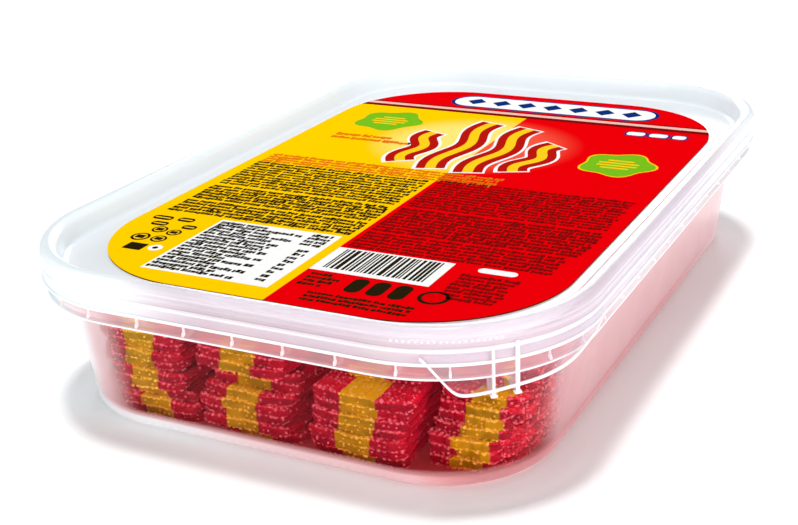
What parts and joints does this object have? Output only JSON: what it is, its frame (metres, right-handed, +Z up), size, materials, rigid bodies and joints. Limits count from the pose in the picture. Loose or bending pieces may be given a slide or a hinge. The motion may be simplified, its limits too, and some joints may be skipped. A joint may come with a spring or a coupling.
{
  "type": "tub of sour belts",
  "caption": "Shut rectangular clear tub with round corners, press-on lid with a pull tab and a printed label, holding stacks of striped sour belts.",
  "frame": {"origin": "middle of the tub's flat underside", "axes": "+Z up, +Y along the tub away from the pull tab's end, +X across it towards the pull tab's side"},
  "size_m": [0.1114, 0.1686, 0.0333],
  "materials": {
    "clear_tub": "translucent, slightly milky moulded polypropylene",
    "clear_lid": "translucent, milky moulded polypropylene",
    "label_print": "printed film in yellow and red fields with a semi-gloss varnish",
    "sour_belt": "chewy red and yellow striped belt with coarse sour sugar on it"
  },
  "bodies": {
    "root": {"belt_inner_left_01": "sour_belt", "belt_inner_left_02": "sour_belt", "belt_inner_left_03": "sour_belt", "belt_inner_left_04": "sour_belt", "belt_inner_left_05": "sour_belt", "belt_inner_left_06": "sour_belt", "belt_inner_left_07": "sour_belt", "belt_inner_left_08": "sour_belt", "belt_inner_left_09": "sour_belt", "belt_inner_left_10": "sour_belt", "belt_inner_left_11": "sour_belt", "belt_inner_left_12": "sour_belt", "belt_inner_right_01": "sour_belt", "belt_inner_right_02": "sour_belt", "belt_inner_right_03": "sour_belt", "belt_inner_right_04": "sour_belt", "belt_inner_right_05": "sour_belt", "belt_inner_right_06": "sour_belt", "belt_inner_right_07": "sour_belt", "belt_inner_right_08": "sour_belt", "belt_inner_right_09": "sour_belt", "belt_inner_right_10": "sour_belt", "belt_inner_right_11": "sour_belt", "belt_inner_right_12": "sour_belt", "belt_left_01": "sour_belt", "belt_left_02": "sour_belt", "belt_left_03": "sour_belt", "belt_left_04": "sour_belt", "belt_left_05": "sour_belt", "belt_left_06": "sour_belt", "belt_left_07": "sour_belt", "belt_left_08": "sour_belt", "belt_left_09": "sour_belt", "belt_left_10": "sour_belt", "belt_left_11": "sour_belt", "belt_left_12": "sour_belt", "belt_right_01": "sour_belt", "belt_right_02": "sour_belt", "belt_right_03": "sour_belt", "belt_right_04": "sour_belt", "belt_right_05": "sour_belt", "belt_right_06": "sour_belt", "belt_right_07": "sour_belt", "belt_right_08": "sour_belt", "belt_right_09": "sour_belt", "belt_right_10": "sour_belt", "belt_right_11": "sour_belt", "belt_right_12": "sour_belt", "label": "label_print", "lid": "clear_lid", "tub": "clear_tub"}
  },
  "joints": []
}
